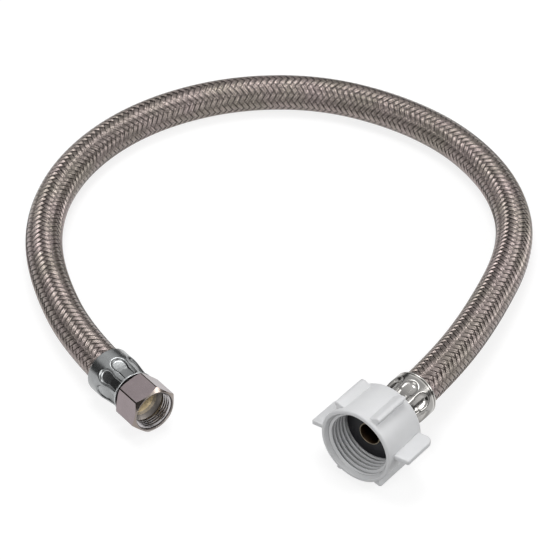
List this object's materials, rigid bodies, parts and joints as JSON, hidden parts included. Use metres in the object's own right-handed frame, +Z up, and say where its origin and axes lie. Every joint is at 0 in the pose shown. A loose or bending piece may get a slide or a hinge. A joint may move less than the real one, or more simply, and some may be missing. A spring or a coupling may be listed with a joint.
{
  "type": "braided water supply line",
  "caption": "Steel-braided toilet supply hose lying in an open loop, with a hexagon compression nut on one end and a plastic wing nut on the other.",
  "frame": {"origin": "middle of the part's footprint, on the table it lies on", "axes": "+Z is up. The loop's closed top lies towards +Y and both fittings towards -Y; +X is to the right as seen from the fittings' side, where the wing nut is."},
  "size_m": [0.1859, 0.2186, 0.0314],
  "materials": {
    "braid": "woven stainless wire, warm grey",
    "liner": "plain black rubber tube",
    "nickel_sleeve": "nickel-plated steel, slightly dark",
    "polished_sleeve": "polished plated steel",
    "satin_nut": "satin chrome plate over brass, faint pink tint",
    "brass": "turned brass",
    "pale_plastic": "moulded pale grey-white plastic",
    "washer_rubber": "black rubber"
  },
  "bodies": {
    "hose": {"hose_braid": "braid", "hose_liner": "liner", "compression_ferrule": "nickel_sleeve", "ballcock_ferrule": "polished_sleeve", "compression_stem": "brass", "ballcock_stem": "brass", "ballcock_washer": "washer_rubber"},
    "compression_nut": {"compression_nut": "satin_nut"},
    "ballcock_nut": {"ballcock_nut": "pale_plastic"}
  },
  "joints": [
    {"name": "compression_nut_spin", "type": "hinge", "parent": "hose", "child": "compression_nut", "pos_m": [-0.0423, -0.0775, 0.01085], "axis": [0.5927, -0.801, 0.0837], "continuous": true},
    {"name": "ballcock_nut_spin", "type": "hinge", "parent": "hose", "child": "ballcock_nut", "pos_m": [0.0251, -0.0993, 0.0159], "axis": [-0.6031, -0.7946, 0.0698], "continuous": true}
  ]
}
